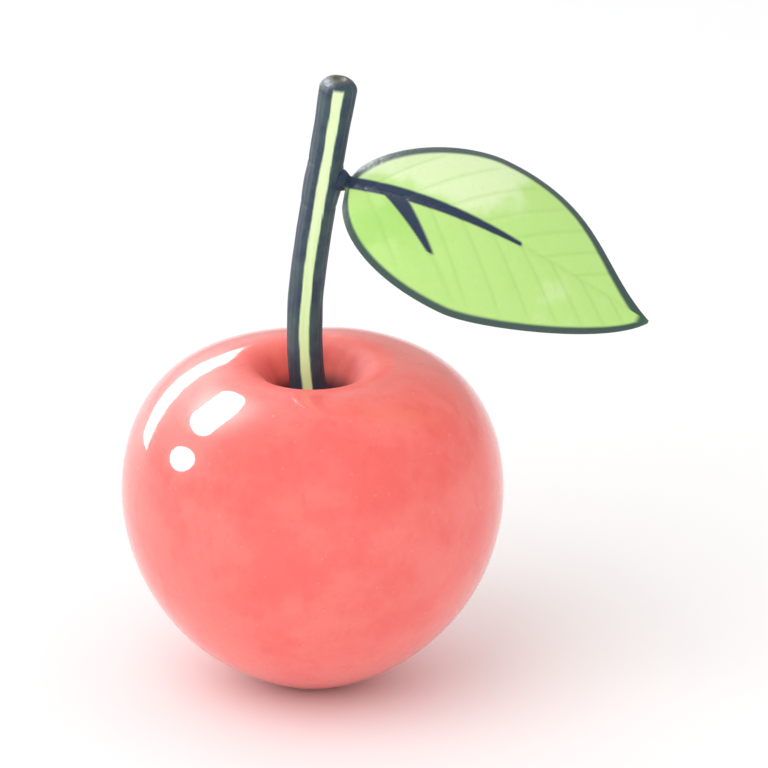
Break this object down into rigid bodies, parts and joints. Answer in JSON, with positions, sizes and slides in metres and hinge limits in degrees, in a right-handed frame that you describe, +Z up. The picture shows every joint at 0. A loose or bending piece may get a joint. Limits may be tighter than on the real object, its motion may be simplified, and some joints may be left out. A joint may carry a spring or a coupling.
{
  "type": "cherry",
  "caption": "Fresh cherry with a plump heart-round body, a hollow at the top, a gently curved stalk and a pointed oval leaf growing from the stalk.",
  "frame": {"origin": "centre of the small flat spot under the fruit that it rests on", "axes": "+Z up through the fruit towards the stalk, +X the side that the leaf grows on, -Y the side that the leaf's upper face looks to"},
  "size_m": [0.0386, 0.0261, 0.0472],
  "materials": {
    "skin": "glossy waxy fruit skin, light coral red with faint mottling",
    "stem": "satin green stalk, paler along its middle, browned at the cut end",
    "leaf": "satin fresh green leaf, paler towards its upper inner part, with darker veins"
  },
  "bodies": {
    "root": {"fruit": "skin", "stem": "stem", "leaf": "leaf"}
  },
  "joints": []
}
